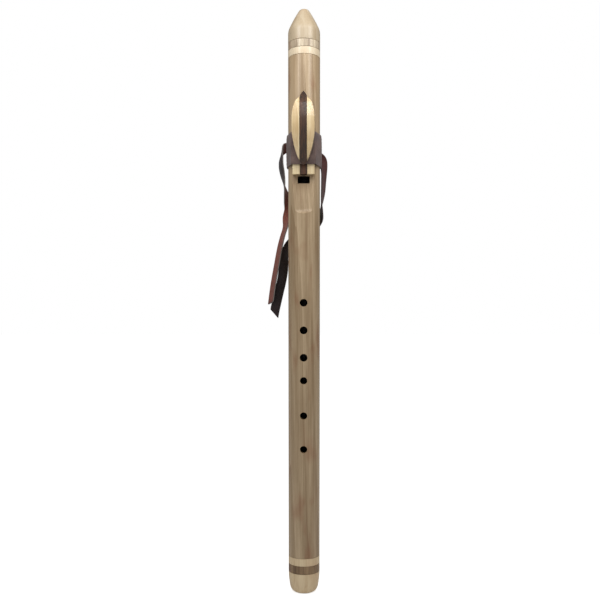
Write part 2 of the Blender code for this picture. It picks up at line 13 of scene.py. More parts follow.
import bmesh
import bpy
import numpy as np
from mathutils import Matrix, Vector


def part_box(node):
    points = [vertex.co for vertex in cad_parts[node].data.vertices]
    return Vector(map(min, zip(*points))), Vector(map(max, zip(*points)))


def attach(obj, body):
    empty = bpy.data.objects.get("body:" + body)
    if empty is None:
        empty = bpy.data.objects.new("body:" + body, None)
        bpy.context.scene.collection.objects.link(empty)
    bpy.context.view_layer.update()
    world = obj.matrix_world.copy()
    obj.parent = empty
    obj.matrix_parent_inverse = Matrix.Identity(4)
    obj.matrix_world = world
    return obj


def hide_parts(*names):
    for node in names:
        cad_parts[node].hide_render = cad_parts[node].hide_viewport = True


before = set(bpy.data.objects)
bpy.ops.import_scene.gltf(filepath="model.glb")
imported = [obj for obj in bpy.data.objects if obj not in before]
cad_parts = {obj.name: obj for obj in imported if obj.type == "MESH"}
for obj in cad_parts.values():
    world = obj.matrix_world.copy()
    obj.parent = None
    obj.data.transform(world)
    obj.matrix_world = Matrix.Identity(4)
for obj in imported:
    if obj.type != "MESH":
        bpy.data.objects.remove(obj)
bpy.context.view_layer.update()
scene = bpy.context.scene

# Camera, fitted to the curves of the end rings in the photograph
IMAGE_SIZE = 600
FOCAL_PIXELS = 725.0
HORIZON_ROW = 332.0
SENSOR_WIDTH = 36.0
CAMERA_DISTANCE = 0.761
CAMERA_HEIGHT = 0.271
CAMERA_AZIMUTH = math.radians(2.2)
CAMERA_SIDESTEP = -0.0043
NEAR_CLIP = 0.01

# Sizes of the solids, most of them read from the frame
GLUE_GAP = 0.0003
FOOT_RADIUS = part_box("foot_dark_ring")[1].x
MOUTH_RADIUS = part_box("mouth_dark_ring")[1].x
FOOT_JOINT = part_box("foot_dark_ring")[0].z
MOUTH_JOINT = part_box("mouth_dark_ring")[1].z
MOUTH_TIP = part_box("mouth_cap")[1].z
BORE_RADIUS = 0.0095
WRAP_LOW, WRAP_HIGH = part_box("leather_wrap")
KNOT_LOW, KNOT_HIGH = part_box("tie_knot")

# Edges and steps of the meshes
EDGE_ROUND = 0.00035
RING_EDGE_ROUND = 0.000175
CORNER_LIMIT = 0.4
CORNER_STEPS = 4
STRAIGHT_COSINE = 0.93
TURN_STEPS = 144
LINE_SAMPLES = 24
WELD_REACH = 1e-6
FLAT_ANGLE = math.radians(0.5)
SHARP_ANGLE = math.radians(30)
BEVEL_SEGMENTS = 2
SHELL_EDGE = 0.00012
CORE_EDGE = 0.00035
CHEEK_EDGE = 0.00040

# The seam between the half shells, drawn in to a glue line
SEAM_REACH = 0.0003
SEAM_SHARE = 0.15

# Turned pieces
CAP_STEPS = 12
FOOT_STEPS = 16
CAP_COLLAR = 0.0097
CAP_SHOULDER_LENGTH = 0.0075
CAP_SHOULDER_RADIUS = 0.0150
CAP_SHOULDER_CORNER = 0.55
CAP_BULGE = 0.0003
CAP_TIP_RADIUS = 0.0070
CAP_TIP_LENGTH = 0.0038
CAP_TIP_CORNER = (0.42, 0.05)
BLOW_HOLE_RADIUS = 0.0032
BLOW_HOLE_RIM = 0.0005
BLOW_HOLE_LENGTH = 0.0130
BLOW_HOLE_FLARE = 0.0080
FOOT_SHOULDER_RADIUS = 0.0146
FOOT_SHOULDER_HEIGHT = 0.0064
FOOT_FLANK_DRAW = 0.0002
FOOT_CORNER = (0.0137, 0.0014)
FOOT_FACE_RADIUS = 0.0094
FOOT_HOLE_RADIUS = 0.0058
FOOT_HOLE_LENGTH = 0.0070
FOOT_FLARE_LENGTH = 0.0060

# Leather
LEATHER = 0.0016
BASE_HALF_WIDTH = 0.0113
WRAP_END = math.radians(164)
WRAP_END_HEIGHT = 0.0140
WRAP_NARROWING = math.radians(105)
WRAP_FLAT_SHARE = 0.92
WRAP_FLAT_STEPS = 10
WRAP_CORNER_STEPS = 12
WRAP_ARC_STEPS = 60
WRAP_COLUMNS = 41
WRAP_ROLL = 0.0004
CREASE_DEPTH = 0.00030
CREASE_START = 1.2
CREASE_RISE = 1.4
WANDER_DEPTH = 0.00010
STRAP_COLUMNS = 11
STRAP_THINNING = 0.15
RIPPLE_DEPTH = 0.0001
RIPPLE_LENGTH = 0.007
TAIL_WIDTH = 0.0100
TAIL_STEPS = 150
TAIL_CUP = 0.0004
LEFT_TAIL_LENGTH = 0.188
LEFT_TAIL_CUT = 0.004
RIGHT_TAIL_LENGTH = 0.201
RIGHT_TAIL_CUT = 0.008
KNOT_STRAP_WIDTH = 0.0085
KNOT_STRAP_STEPS = 40
KNOT_LOOP_WIDTH = 0.00765
KNOT_LOOP_STEPS = 48
KNOT_LOOP_ANGLE = math.radians(250)
KNOT_LOOP_CUP = 0.0005
KNOT_LOOP_POINTS = 9
KNOT_LOOP_SWAY = 0.0012
KNOT_LOOP_SINK = 0.0006
KNOT_LOOP_INSET = 0.0008
KNOT_LOOP_SLOWNESS = 1.4
KNOT_LOOP_RISE = 0.0068
KNOT_UNDER_CUP = 0.0006
KNOT_OVER_CUP = 0.0008

# Routes of the tails, as the solids have them: x, y, z and the way the grain side faces
LEFT_TAIL_ROUTE = (
    (-0.0118, 0.0222, 0.4675, -152),
    (-0.0160, 0.0188, 0.4690, -140),
    (-0.0198, 0.0140, 0.4680, -122),
    (-0.0226, 0.0098, 0.4635, -95),
    (-0.0244, 0.0075, 0.4560, -70),
    (-0.0247, 0.0065, 0.4480, -64),
    (-0.0234, 0.0065, 0.4400, -64),
    (-0.0214, 0.0072, 0.4300, -78),
    (-0.0197, 0.0090, 0.4200, -104),
    (-0.0178, 0.0120, 0.4105, -140),
    (-0.0166, 0.0142, 0.4020, -176),
    (-0.0188, 0.0136, 0.3930, -208),
    (-0.0200, 0.0090, 0.3830, -234),
    (-0.0230, 0.0064, 0.3720, -240),
    (-0.0256, 0.0058, 0.3610, -239),
    (-0.0278, 0.0058, 0.3500, -238),
    (-0.0298, 0.0060, 0.3390, -238),
    (-0.0317, 0.0064, 0.3280, -238),
    (-0.0335, 0.0068, 0.3170, -238),
    (-0.0350, 0.0072, 0.3070, -238),
    (-0.0359, 0.0075, 0.3000, -238),
)
RIGHT_TAIL_ROUTE = (
    (0.0118, 0.0222, 0.4600, 152),
    (0.0160, 0.0190, 0.4585, 165),
    (0.0190, 0.0151, 0.4540, 195),
    (0.0205, 0.0122, 0.4470, 225),
    (0.0207, 0.0110, 0.4390, 240),
    (0.0203, 0.0108, 0.4300, 246),
    (0.0199, 0.0112, 0.4200, 251),
    (0.0190, 0.0126, 0.4105, 262),
    (0.0180, 0.0150, 0.4010, 285),
    (0.0158, 0.0182, 0.3925, 320),
    (0.0108, 0.0212, 0.3855, 345),
    (0.0048, 0.0226, 0.3800, 357),
    (-0.0020, 0.0228, 0.3755, 363),
    (-0.0088, 0.0215, 0.3715, 372),
    (-0.0148, 0.0188, 0.3665, 388),
    (-0.0192, 0.0160, 0.3600, 404),
    (-0.0214, 0.0144, 0.3525, 406),
    (-0.0222, 0.0138, 0.3440, 388),
    (-0.0229, 0.0138, 0.3350, 374),
    (-0.0246, 0.0140, 0.3250, 368),
    (-0.0270, 0.0143, 0.3150, 366),
    (-0.0293, 0.0146, 0.3050, 365),
    (-0.0315, 0.0150, 0.2955, 365),
    (-0.0332, 0.0153, 0.2865, 365),
)

# The knot's two crossing straps: x, y past the seat, z past the middle and the way the grain faces.
# The middle of the strap on top is then put near the knot's back.
KNOT_UNDER = (
    (-0.0105, -0.0045, -0.0040, 215),
    (-0.0065, -0.0008, -0.0028, 196),
    (0.0, 0.0012, 0.0, 180),
    (0.0065, -0.0008, 0.0022, 164),
    (0.0105, -0.0045, 0.0030, 145),
)
KNOT_OVER = (
    (-0.0105, -0.0040, 0.0035, 215),
    (-0.0068, 0.0006, 0.0026, 200),
    (0.0, 0.0, 0.0, 180),
    (0.0068, 0.0006, -0.0024, 160),
    (0.0105, -0.0040, -0.0035, 145),
)
KNOT_OVER_SETBACK = 0.0034

# Wood: a pattern's stretch along x, y and z, its detail, its roughness and the range that shows
BAND_STRETCH = (1.0, 0.75, 0.055)
STREAKS = ((900, 900, 14), 4.0, 0.6, (0.35, 0.68))
BROAD_STREAKS = ((170, 170, 9), 2.0, 0.5, (0.38, 0.64))
PATCHES = ((75, 75, 22), 2.0, 0.5, (0.52, 0.72))
PORES = ((2600, 2600, 120), 1.0, 0.5, (0.60, 0.70))
SHADE_ROUGHNESS = 0.12
SHADE_DEPTH = -0.3
WOOD_BUMP = (0.35, 0.00012)

# Painted shade: the bore painted nearly black, and the ramp below the splitting edge and the block's lower
# slope painted darker
PAINTED_SHADE_COLOUR = (0.012, 0.008, 0.006, 1.0)
BORE_PAINTED_SHADE_REACH = (0.0112, 0.0104)
RAMP_HALF_WIDTH = 0.0085
RAMP_SIDE_FADE = 0.0006
RAMP_FOOT = 0.4100
SPLITTING_EDGE = 0.4244
SPLITTING_EDGE_FADE = 0.0004
RAMP_PAINTED_SHADE_SHARE = 0.45
SLOPE_TOP = 0.4860
SLOPE_DARKEST = 0.4600
SLOPE_FOOT = 0.4430
SLOPE_FOOT_FADE = 0.002
PAINTED_SLOPE_SHADE_MIX = 0.5

# Hide: its patterns, and where along the side attribute its flesh side and its cut edge lie
CELL_SCALE = 900.0
CELL_SPAN = (0.0, 0.25)
CELL_DEPTH = 0.6
CREASE_SCALE = 420.0
CREASE_SPAN = (0.40, 0.62)
CREASE_HEIGHT = 0.8
BLOTCH_SCALE = 90.0
BLOTCH_SPAN = (0.36, 0.66)
FLESH_SPAN = (0.90, 0.99)
CUT_OUTER_SPAN = (0.08, 0.20)
CUT_INNER_SPAN = (0.92, 0.80)
GRAIN_DEEP = 0.62
FLESH_DEEP = 0.70
HIDE_ROUGHNESS = 0.55
FLESH_ROUGHNESS = 0.30
BLOTCH_POLISH = -0.10
HIDE_BUMP = (0.5, 0.00015)
HIDE_SHEEN = 0.15

# Lights and floor
SURROUND_LIGHT = 0.42
SURROUND_GLOSS = 0.14
LAMP_DISTANCE = 0.30
LAMP_HEIGHT = 0.72
LAMP_TILT = math.radians(50)
LAMP_SIZE = (0.05, 0.26)
LAMPS = (("left_box", -34, 0.66), ("middle_box", 4, 0.30), ("right_box", 44, 0.74))
FLOOR_REACH = 60.0
FLOOR_PALE = (0.86, 0.86, 0.86, 1.0)
FLOOR_ROUGHNESS = 0.9
FLOOR_GLOW = 0.72
WHITE = (1.0, 1.0, 1.0, 1.0)


# Camera


def place_camera():
    """A level camera in front of the tube, a little to its right, with the photograph's framing."""
    lens = bpy.data.cameras.new("camera")
    lens.sensor_width = SENSOR_WIDTH
    lens.lens = FOCAL_PIXELS / IMAGE_SIZE * SENSOR_WIDTH
    lens.shift_y = (HORIZON_ROW - IMAGE_SIZE / 2) / IMAGE_SIZE
    lens.clip_start = NEAR_CLIP
    camera = bpy.data.objects.new("camera", lens)
    side, ahead = math.cos(CAMERA_AZIMUTH), math.sin(CAMERA_AZIMUTH)
    camera.location = (
        CAMERA_DISTANCE * ahead + CAMERA_SIDESTEP * side,
        -CAMERA_DISTANCE * side + CAMERA_SIDESTEP * ahead,
        CAMERA_HEIGHT,
    )
    camera.rotation_euler = (math.pi / 2, 0.0, CAMERA_AZIMUTH)
    scene.collection.objects.link(camera)
    scene.camera = camera


# Meshes


def outer_radius(z):
    """The tube's outside at a height: an even taper between its two end joints."""
    share = (z - FOOT_JOINT) / (MOUTH_JOINT - FOOT_JOINT)
    return FOOT_RADIUS + share * (MOUTH_RADIUS - FOOT_RADIUS)


def surface(name, points, quads, sides=None):
    """An object from points and quads, turned so that its faces look outwards.

    The sign of the volume, a sum over the triangles of a . (b x c), says which way they look. The
    sides, where given, are kept as the attribute that the leather's finish reads.
    """
    a, b, c, d = (points[quads[:, k]] for k in range(4))
    volume = np.einsum("ij,ij->", a, np.cross(b, c)) + np.einsum("ij,ij->", a, np.cross(c, d))
    if volume < 0:
        quads = quads[:, ::-1]
    mesh = bpy.data.meshes.new(name)
    mesh.from_pydata(points.tolist(), [], quads.tolist())
    if sides is not None:
        layer = mesh.attributes.new("side", "FLOAT", "POINT")
        layer.data.foreach_set("value", sides.astype(np.float32))
    mesh.update()
    mesh.shade_smooth()
    thing = bpy.data.objects.new(name, mesh)
    scene.collection.objects.link(thing)
    return thing


def curve(start, control, end, steps):
    """Points on the curve (1 - t)^2 start + 2 t (1 - t) control + t^2 end, for t from 0 to 1."""
    t = np.linspace(0, 1, steps + 1)[:, None]
    start, control, end = (np.array(p, float) for p in (start, control, end))
    return (1 - t) ** 2 * start + 2 * t * (1 - t) * control + t**2 * end


def eased(outline, size):
    """A closed outline whose sharp corners are cut short by a size and rounded off."""
    outline = np.array(outline, float)
    made = []
    for before, corner, after in zip(np.roll(outline, 1, 0), outline, np.roll(outline, -1, 0)):
        back, on = before - corner, after - corner
        back_length, on_length = np.linalg.norm(back), np.linalg.norm(on)
        if back @ on < -STRAIGHT_COSINE * back_length * on_length:
            made.append(corner[None])
            continue
        cut = min(size, CORNER_LIMIT * back_length, CORNER_LIMIT * on_length)
        start = corner + back * cut / back_length
        end = corner + on * cut / on_length
        made.append(curve(start, corner, end, CORNER_STEPS))
    return np.vstack(made)


def turned(name, outline):
    """A closed outline of (r, h) points turned once round the tube's axis.

    A point at the angle a lies at x = r sin a, y = -r cos a, z = h.
    """
    angle = np.linspace(0, 2 * math.pi, TURN_STEPS, endpoint=False)[:, None]
    radius, height = outline[:, 0], outline[:, 1]
    heights = np.broadcast_to(height, (TURN_STEPS, len(height)))
    points = np.stack([np.sin(angle) * radius, -np.cos(angle) * radius, heights], axis=2)
    index = np.arange(TURN_STEPS * len(outline)).reshape(TURN_STEPS, -1)
    ahead = np.roll(index, -1, 0)
    quads = np.stack([index, ahead, np.roll(ahead, -1, 1), np.roll(index, -1, 1)], axis=2)
    return surface(name, points.reshape(-1, 3), quads.reshape(-1, 4))


def sleeve_parts(inner, outer):
    """Points, quads and sides of a closed skin: two grids joined round their four edges.

    The side value is 0 on the outer grid, the grain side, and 1 on the inner, the flesh side.
    """
    rows, columns = inner.shape[:2]
    index = np.arange(rows * columns).reshape(rows, columns)
    corners = [index[:-1, :-1], index[1:, :-1], index[1:, 1:], index[:-1, 1:]]
    grid = np.stack(corners, axis=2).reshape(-1, 4)
    rim = np.concatenate([index[:, 0], index[-1, 1:], index[-2::-1, -1], index[0, -2:0:-1]])
    after = np.roll(rim, -1)
    lift = rows * columns
    walls = np.stack([rim, rim + lift, after + lift, after], axis=1)
    quads = np.vstack([grid, grid[:, ::-1] + lift, walls])
    points = np.vstack([inner.reshape(-1, 3), outer.reshape(-1, 3)])
    sides = np.repeat([1.0, 0.0], lift)
    return points, quads, sides


def smooth_line(rows, count):
    """A smooth curve through rows of numbers, at even steps of its x, y, z length.

    Between the rows b and c, with a before and d after, it is for s from 0 to 1
    (2 b + (c - a) s + (2 a - 5 b + 4 c - d) s^2 + (3 b - a - 3 c + d) s^3) / 2.
    """
    rows = np.array(rows, float)
    ends = np.vstack([2 * rows[0] - rows[1], rows, 2 * rows[-1] - rows[-2]])
    share = np.linspace(0, 1, LINE_SAMPLES, endpoint=False)[:, None]
    pieces = []
    for a, b, c, d in zip(ends, ends[1:], ends[2:], ends[3:]):
        bend = 2 * a - 5 * b + 4 * c - d
        swing = 3 * b - a - 3 * c + d
        pieces.append(0.5 * (2 * b + (c - a) * share + bend * share**2 + swing * share**3))
    fine = np.vstack([*pieces, rows[-1:]])
    along = np.concatenate([[0], np.cumsum(np.linalg.norm(np.diff(fine[:, :3], axis=0), axis=1))])
    at = np.linspace(0, along[-1], count)
    return np.stack([np.interp(at, along, fine[:, k]) for k in range(rows.shape[1])], axis=1)


def strap_places():
    """Places from -1 to 1 across a strap, closer at its edges: the sines of even angles."""
    return np.sin(np.linspace(-math.pi / 2, math.pi / 2, STRAP_COLUMNS))[None, :, None]


def strap_half(places):
    """Half of a strap's thickness at places s across it: LEATHER / 2 (1 - STRAP_THINNING |s|^5)."""
    return LEATHER / 2 * (1 - STRAP_THINNING * np.abs(places) ** 5)


def strap_parts(route, width, count, cup, cut=0.0):
    """A flat strap along a route of x, y, z and the way its grain side faces, in degrees.

    With the route at p, its tangent t, the facing f square to it, a = t x f and s from -1 to 1
    across, the middle is p + a s width / 2 + f cup (1 - s^2) - t lean, and the two faces lie half
    the leather to either side. The lean grows as the sixth power of the way along, up to the cut
    at one edge, which gives the slanted end. A slight ripple along the way moves both faces.
    """
    line = smooth_line(route, count)
    points, facing = line[:, :3], np.radians(line[:, 3])
    tangent = np.gradient(points, axis=0)
    tangent /= np.linalg.norm(tangent, axis=1)[:, None]
    face = np.stack([np.sin(facing), -np.cos(facing), np.zeros_like(facing)], axis=1)
    face -= (face * tangent).sum(1)[:, None] * tangent
    face /= np.linalg.norm(face, axis=1)[:, None]
    across = np.cross(tangent, face)
    place = strap_places()
    step = np.linalg.norm(np.diff(points, axis=0), axis=1).mean()
    lean = np.linspace(0, 1, count)[:, None, None] ** 6 * cut * (1 + place) / 2
    middle = points[:, None] + across[:, None] * place * width / 2 - tangent[:, None] * lean
    middle = middle + face[:, None] * cup * (1 - place**2)
    ripple = RIPPLE_DEPTH * np.sin(np.arange(count) * step / RIPPLE_LENGTH)[:, None, None]
    half = strap_half(place)
    outer = middle + face[:, None] * (half + ripple)
    inner = middle - face[:, None] * (half - ripple)
    return sleeve_parts(inner, outer)


def joined(name, parts):
    """One object from several closed skins."""
    shift = np.cumsum([0] + [len(points) for points, _, _ in parts[:-1]])
    points = np.vstack([p for p, _, _ in parts])
    quads = np.vstack([q + s for (_, q, _), s in zip(parts, shift)])
    sides = np.concatenate([v for _, _, v in parts])
    return surface(name, points, quads, sides)


def eased_copy(node, width):
    """A welded copy of a solid, its flat faces made whole and its edges rounded by a width."""
    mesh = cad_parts[node].data.copy()
    shape = bmesh.new()
    shape.from_mesh(mesh)
    bmesh.ops.remove_doubles(shape, verts=shape.verts, dist=WELD_REACH)
    bmesh.ops.dissolve_limit(shape, angle_limit=FLAT_ANGLE, verts=shape.verts, edges=shape.edges)
    bmesh.ops.recalc_face_normals(shape, faces=shape.faces)
    shape.to_mesh(mesh)
    shape.free()
    mesh.materials.clear()
    mesh.shade_smooth()
    mesh.set_sharp_from_angle(angle=SHARP_ANGLE)
    piece = bpy.data.objects.new(f"{node}_eased", mesh)
    scene.collection.objects.link(piece)
    bevel = piece.modifiers.new("eased_edges", "BEVEL")
    bevel.width = width
    bevel.segments = BEVEL_SEGMENTS
    bevel.limit_method = "ANGLE"
    bevel.angle_limit = SHARP_ANGLE
    bevel.miter_outer = "MITER_ARC"
    bevel.use_clamp_overlap = True
    bevel.harden_normals = True
    return piece


def half_shell(node):
    """A half of the tube's wall, with its seam faces drawn in until they nearly meet the other's."""
    half = eased_copy(node, SHELL_EDGE)
    for corner in half.data.vertices:
        if abs(corner.co.y) < SEAM_REACH:
            corner.co.y *= SEAM_SHARE
    return half


def paint(piece, finish):
    """Put one finish on a whole piece."""
    piece.data.materials.clear()
    piece.data.materials.append(finish)


def dress(piece, finish, body, node):
    """Give a piece its finish and its body, and hide the solid that it stands for."""
    paint(piece, finish)
    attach(piece, body)
    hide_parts(node)


# Finishes


def tone(red, green, blue):
    """A screen colour from 0 to 255 as the linear colour that a shader takes."""
    share = np.array([red, green, blue]) / 255
    linear = np.where(share <= 0.04045, share / 12.92, ((share + 0.055) / 1.055) ** 2.4)
    return (*linear.tolist(), 1.0)


def new_group(name, inputs, outputs):
    """A shader group with sockets from (label, kind) rows: itself, what it takes and what it gives."""
    group = bpy.data.node_groups.new(name, "ShaderNodeTree")
    for in_out, rows in (("INPUT", inputs), ("OUTPUT", outputs)):
        for label, kind in rows:
            group.interface.new_socket(label, in_out=in_out, socket_type=kind)
    return group, group.nodes.new("NodeGroupInput").outputs, group.nodes.new("NodeGroupOutput").inputs


def feed(tree, socket, value):
    """Give a socket a value, or link another node's socket to it."""
    if isinstance(value, bpy.types.NodeSocket):
        tree.links.new(value, socket)
    else:
        socket.default_value = value


def node(tree, kind, inputs, **settings):
    """A node with its settings and its inputs, which are values or other nodes' sockets."""
    made = tree.nodes.new(kind)
    for key, value in settings.items():
        setattr(made, key, value)
    for key, value in inputs.items():
        feed(tree, made.inputs[key], value)
    return made


def sums(tree, operation, first, second):
    """The output of one Math node."""
    return node(tree, "ShaderNodeMath", {0: first, 1: second}, operation=operation).outputs[0]


def product(tree, first, second):
    """The product of two values."""
    return sums(tree, "MULTIPLY", first, second)


def ranged(tree, value, low, high, new_low=0.0, new_high=1.0):
    """A value eased from one range to another."""
    made = node(
        tree,
        "ShaderNodeMapRange",
        {"Value": value, "From Min": low, "From Max": high, "To Min": new_low, "To Max": new_high},
        interpolation_type="SMOOTHSTEP",
    )
    return made.outputs[0]


def mixed(tree, share, first, second):
    """Two colours mixed by a share."""
    made = node(tree, "ShaderNodeMix", {}, data_type="RGBA")
    for socket, value in zip((made.inputs[0], made.inputs[6], made.inputs[7]), (share, first, second)):
        feed(tree, socket, value)
    return made.outputs[2]


def noise(tree, place, detail, roughness, scale=1.0):
    """A noise pattern's value."""
    inputs = {"Vector": place, "Scale": scale, "Detail": detail, "Roughness": roughness}
    return node(tree, "ShaderNodeTexNoise", inputs).outputs["Fac"]


def wood_figure_group():
    """Growth bands, lengthwise streaks, short open pores and warm patches of a planed board."""
    colour, value = "NodeSocketColor", "NodeSocketFloat"
    shares = ("Band Scale", "Band Share", "Streak Share", "Warm Share", "Pore Share", "Offset")
    inputs = [("Vector", "NodeSocketVector")]
    inputs += [(label, colour) for label in ("Light", "Dark", "Warm")]
    inputs += [(label, value) for label in shares]
    outputs = (("Color", colour), ("Roughness Shift", value), ("Height", value))
    group, take, made = new_group("wood_figure", inputs, outputs)
    shift = node(group, "ShaderNodeCombineXYZ", {axis: take["Offset"] for axis in "XYZ"})
    place = node(group, "ShaderNodeVectorMath", {0: take["Vector"], 1: shift.outputs[0]}, operation="ADD")

    def stretched(stretch):
        """The place, stretched along each axis."""
        scaled = {0: place.outputs[0], 1: stretch}
        return node(group, "ShaderNodeVectorMath", scaled, operation="MULTIPLY").outputs[0]

    def share_of(pattern, label):
        """The part of a pattern that shows, scaled by the share with that label."""
        stretch, detail, roughness, span = pattern
        shown = ranged(group, noise(group, stretched(stretch), detail, roughness), *span)
        return product(group, shown, take[label])

    band_inputs = {
        "Vector": stretched(BAND_STRETCH),
        "Scale": take["Band Scale"],
        "Distortion": 5.0,
        "Detail": 3.0,
        "Detail Scale": 0.9,
        "Detail Roughness": 0.55,
    }
    band_kind = {"wave_type": "BANDS", "bands_direction": "DIAGONAL", "wave_profile": "SAW"}
    bands = node(group, "ShaderNodeTexWave", band_inputs, **band_kind)
    banding = product(group, bands.outputs["Fac"], take["Band Share"])
    streaking = share_of(STREAKS, "Streak Share")
    broad = share_of(BROAD_STREAKS, "Streak Share")
    warmth = share_of(PATCHES, "Warm Share")
    pitted = share_of(PORES, "Pore Share")
    shade = sums(group, "ADD", sums(group, "ADD", banding, streaking), broad)
    shade = sums(group, "MINIMUM", shade, 1.0)
    base = mixed(group, shade, take["Light"], take["Dark"])
    warmed = mixed(group, warmth, base, take["Warm"])
    feed(group, made["Color"], mixed(group, pitted, warmed, take["Dark"]))
    feed(group, made["Roughness Shift"], product(group, shade, SHADE_ROUGHNESS))
    height = sums(group, "ADD", product(group, pitted, -1.0), product(group, shade, SHADE_DEPTH))
    feed(group, made["Height"], height)
    return group


def hide_grain_group():
    """Pebbled leather: small cells, creases across them and blotches of handling."""
    value = "NodeSocketFloat"
    outputs = (("Blotch", value), ("Crease", value), ("Height", value))
    group, take, made = new_group("hide_grain", [("Vector", "NodeSocketVector")], outputs)
    cell_inputs = {"Vector": take["Vector"], "Scale": CELL_SCALE}
    cells = node(group, "ShaderNodeTexVoronoi", cell_inputs, feature="DISTANCE_TO_EDGE")
    creases = noise(group, take["Vector"], detail=5.0, roughness=0.65, scale=CREASE_SCALE)
    blotches = noise(group, take["Vector"], detail=3.0, roughness=0.5, scale=BLOTCH_SCALE)
    pebble = product(group, ranged(group, cells.outputs["Distance"], *CELL_SPAN), CELL_DEPTH)
    feed(group, made["Blotch"], ranged(group, blotches, *BLOTCH_SPAN))
    feed(group, made["Crease"], ranged(group, creases, *CREASE_SPAN))
    feed(group, made["Height"], sums(group, "ADD", pebble, product(group, creases, CREASE_HEIGHT)))
    return group


WOOD_FIGURE = wood_figure_group()
HIDE_GRAIN = hide_grain_group()


def new_finish(name, effect):
    """A new material, its tree, its shader's inputs, object coordinates and the effect they feed."""
    finish = bpy.data.materials.new(name)
    finish.use_nodes = True
    tree = finish.node_tree
    place = tree.nodes.new("ShaderNodeTexCoord").outputs["Object"]
    group = tree.nodes.new("ShaderNodeGroup")
    group.node_tree = effect
    feed(tree, group.inputs["Vector"], place)
    return finish, tree, tree.nodes["Principled BSDF"].inputs, place, group


def bumped(tree, height, strength, distance):
    """The surface's direction, tilted by the slopes of a height."""
    inputs = {"Height": height, "Strength": strength, "Distance": distance}
    return node(tree, "ShaderNodeBump", inputs).outputs["Normal"]


def bore_painted_shade_mask(tree, place):
    """Painted bore shade: 1 in the bore and the first of the wall, 0 further out, by the distance from the
    axis.
    """
    flat = node(tree, "ShaderNodeVectorMath", {0: place, 1: (1.0, 1.0, 0.0)}, operation="MULTIPLY")
    reach = node(tree, "ShaderNodeVectorMath", {0: flat.outputs[0]}, operation="LENGTH").outputs["Value"]
    return ranged(tree, reach, *BORE_PAINTED_SHADE_REACH)


def ramp_painted_shade_mask(tree, place):
    """Painted shade of the ramp: 1 in front at the splitting edge, 0 beside the ramp and above it, fading
    out to its foot.
    """
    parts = node(tree, "ShaderNodeSeparateXYZ", {0: place}).outputs
    away = sums(tree, "ABSOLUTE", parts["X"], 0.0)
    across = ranged(tree, away, RAMP_HALF_WIDTH, RAMP_HALF_WIDTH - RAMP_SIDE_FADE)
    below = ranged(tree, parts["Z"], RAMP_FOOT, SPLITTING_EDGE)
    edge = ranged(tree, parts["Z"], SPLITTING_EDGE + SPLITTING_EDGE_FADE, SPLITTING_EDGE)
    front = sums(tree, "LESS_THAN", parts["Y"], 0.0)
    return product(tree, product(tree, across, product(tree, below, edge)), front)


def slope_painted_shade_mask(tree, place):
    """Painted shade of the block's lower slope: 0 at its top, 1 from its darkest height down, 0 again at
    its foot.
    """
    height = node(tree, "ShaderNodeSeparateXYZ", {0: place}).outputs["Z"]
    upper = ranged(tree, height, SLOPE_TOP, SLOPE_DARKEST)
    return product(tree, upper, ranged(tree, height, SLOPE_FOOT, SLOPE_FOOT + SLOPE_FOOT_FADE))


def wood(name, light, dark, warm, bands, band, streak, warm_share, pores, coat, offset=0.0,
         roughness=0.40, coat_roughness=0.30, painted_bore_shade=False, painted_slope_shade=0.0):
    """Oiled wood whose grain runs up the tube.

    A piece with painted bore shade is painted darker in the ramp and nearly black in the bore, both
    painted shade, and a painted slope shade above 0 darkens the block's lower slope by that share, a
    painted shade.
    """
    finish, tree, shader, place, figure = new_finish(name, WOOD_FIGURE)
    given = {
        "Light": light, "Dark": dark, "Warm": warm, "Band Scale": bands, "Band Share": band,
        "Streak Share": streak, "Warm Share": warm_share, "Pore Share": pores, "Offset": offset,
    }
    for label, value in given.items():
        feed(tree, figure.inputs[label], value)
    colour = figure.outputs["Color"]
    if painted_bore_shade:
        # Painted shade: the ramp below the splitting edge is painted darker, where the block's shadow
        # falls
        colour = mixed(tree, ramp_painted_shade_mask(tree, place), colour, mixed(tree, RAMP_PAINTED_SHADE_SHARE, colour, dark))
        # Painted shade: the bore is painted nearly black, where no light reaches inside the tube
        colour = mixed(tree, bore_painted_shade_mask(tree, place), colour, PAINTED_SHADE_COLOUR)
    # Painted shade on the block's lower slope, which faces down away from the lamps
    if painted_slope_shade:
        share = product(tree, slope_painted_shade_mask(tree, place), painted_slope_shade)
        colour = mixed(tree, share, colour, mixed(tree, PAINTED_SLOPE_SHADE_MIX, PAINTED_SHADE_COLOUR, dark))
    feed(tree, shader["Base Color"], colour)
    feed(tree, shader["Roughness"], sums(tree, "ADD", figure.outputs["Roughness Shift"], roughness))
    feed(tree, shader["Normal"], bumped(tree, figure.outputs["Height"], *WOOD_BUMP))
    shader["Coat Weight"].default_value = coat
    shader["Coat Roughness"].default_value = coat_roughness
    return finish


def deeper(colour, share):
    """A colour with its three channels scaled by a share."""
    return (*(share * channel for channel in colour[:3]), 1.0)


